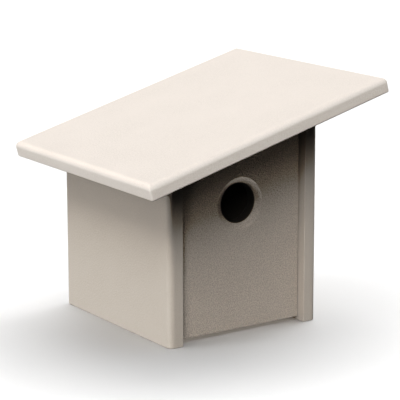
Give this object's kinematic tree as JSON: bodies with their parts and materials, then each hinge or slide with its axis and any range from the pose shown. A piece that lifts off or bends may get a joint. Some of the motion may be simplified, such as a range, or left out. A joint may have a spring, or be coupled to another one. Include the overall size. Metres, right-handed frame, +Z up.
{
  "type": "birdhouse",
  "caption": "Nest box for small birds with a single-slope overhanging roof, round entrance hole and a top-hung clean-out door.",
  "frame": {"origin": "on the ground, under the middle of the box's extents in plan", "axes": "+Z up, -Y to the front (entrance hole), +X to the side where the roof is high"},
  "size_m": [0.2262, 0.204, 0.2039],
  "materials": {
    "roof": "fine pebbled sand-coloured polyethylene sheet",
    "body": "fine pebbled sand-coloured polyethylene sheet",
    "steel": "plain stainless steel"
  },
  "bodies": {
    "box": {"roof_panel": "roof", "back_panel": "body", "floor_panel": "body", "left_side_panel": "body", "left_roof_cleat": "body", "left_floor_cleat": "body", "right_side_panel": "body", "right_roof_cleat": "body", "right_floor_cleat": "body", "left_roof_cleat_wall_screw_front": "steel", "left_roof_cleat_roof_screw_front": "steel", "left_roof_cleat_wall_screw_rear": "steel", "left_roof_cleat_roof_screw_rear": "steel", "left_floor_cleat_wall_screw_front": "steel", "left_floor_cleat_floor_screw_front": "steel", "left_floor_cleat_wall_screw_rear": "steel", "left_floor_cleat_floor_screw_rear": "steel", "back_screw_upper_left": "steel", "back_screw_lower_left": "steel", "right_roof_cleat_wall_screw_front": "steel", "right_roof_cleat_roof_screw_front": "steel", "right_roof_cleat_wall_screw_rear": "steel", "right_roof_cleat_roof_screw_rear": "steel", "right_floor_cleat_wall_screw_front": "steel", "right_floor_cleat_floor_screw_front": "steel", "right_floor_cleat_wall_screw_rear": "steel", "right_floor_cleat_floor_screw_rear": "steel", "back_screw_upper_right": "steel", "back_screw_lower_right": "steel", "left_pivot_washer": "steel", "right_pivot_washer": "steel"},
    "door": {"front_panel": "body", "left_pivot_screw": "steel", "right_pivot_screw": "steel"},
    "lock_pin": {"lock_pin": "steel"}
  },
  "joints": [
    {"name": "door_hinge", "type": "hinge", "parent": "box", "child": "door", "pos_m": [0.00474, -0.04375, 0.1283], "axis": [-1, 0, 0], "range_deg": [0, 100]},
    {"name": "lock_pin_slide", "type": "slide", "parent": "box", "child": "lock_pin", "axis": [-1, 0, 0], "range_m": [0, 0.007]}
  ]
}
